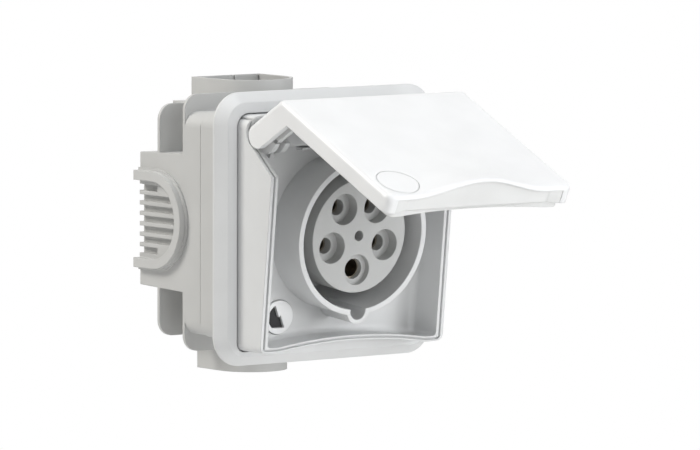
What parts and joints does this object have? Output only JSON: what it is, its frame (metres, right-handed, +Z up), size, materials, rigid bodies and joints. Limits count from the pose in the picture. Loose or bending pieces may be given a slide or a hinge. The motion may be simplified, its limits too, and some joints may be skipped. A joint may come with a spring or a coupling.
{
  "type": "industrial flush wall socket",
  "caption": "Flush-mounted five-pole round-pin power socket with a bent spring lid shown open, a square sloped frame and a finned wall box with louvred cable entries.",
  "frame": {"origin": "centre of the square frame's back face, in the plane of the finished wall", "axes": "+X to the right seen from the front, +Y into the wall, +Z up"},
  "size_m": [0.1074, 0.1809, 0.1167],
  "materials": {
    "housing_plastic": "fine matte moulded, light grey",
    "lid_plastic": "smooth satin moulded, near white",
    "liner_plastic": "matte moulded, mid grey",
    "seal_rubber": "soft matte",
    "insert_plastic": "matte moulded, mid grey",
    "contact_brass": "bright turned",
    "screw_steel": "zinc plated",
    "pin_steel": "drawn wire",
    "fastener_plastic": "matte moulded, light grey",
    "box_plastic": "matte moulded, grey"
  },
  "bodies": {
    "base": {"front_frame": "housing_plastic", "socket_housing": "housing_plastic", "frame_gasket": "seal_rubber", "housing_seal": "seal_rubber", "contact_insert": "insert_plastic", "terminal_carrier": "insert_plastic", "contact_earth": "contact_brass", "contact_l1": "contact_brass", "contact_l2": "contact_brass", "contact_l3": "contact_brass", "contact_neutral": "contact_brass", "terminal_screws": "screw_steel", "carrier_screw": "screw_steel", "frame_screws": "screw_steel", "hinge_pin_left": "pin_steel", "hinge_pin_right": "pin_steel", "lid_spring": "pin_steel", "extension_ring": "box_plastic", "flush_box": "box_plastic", "entry_grille_left": "box_plastic", "entry_grille_right": "box_plastic", "top_sleeve": "box_plastic", "bottom_spigot": "box_plastic"},
    "lid": {"lid_cover": "lid_plastic", "lid_liner": "liner_plastic", "lid_gasket": "seal_rubber"},
    "fastener_left": {"quick_turn_fastener_left": "fastener_plastic"},
    "fastener_right": {"quick_turn_fastener_right": "fastener_plastic"}
  },
  "joints": [
    {"name": "lid_hinge", "type": "hinge", "parent": "base", "child": "lid", "pos_m": [0, -0.01703, 0.03912], "axis": [-1, 0, 0], "range_deg": [-70.4, 45]},
    {"name": "fastener_left_turn", "type": "hinge", "parent": "base", "child": "fastener_left", "pos_m": [-0.0257, -0.00443, -0.03495], "axis": [0, -0.9945, -0.1045], "range_deg": [0, 90]},
    {"name": "fastener_right_turn", "type": "hinge", "parent": "base", "child": "fastener_right", "pos_m": [0.0323, -0.0102, 0.01995], "axis": [0, -0.9945, -0.1045], "range_deg": [0, 90]}
  ]
}
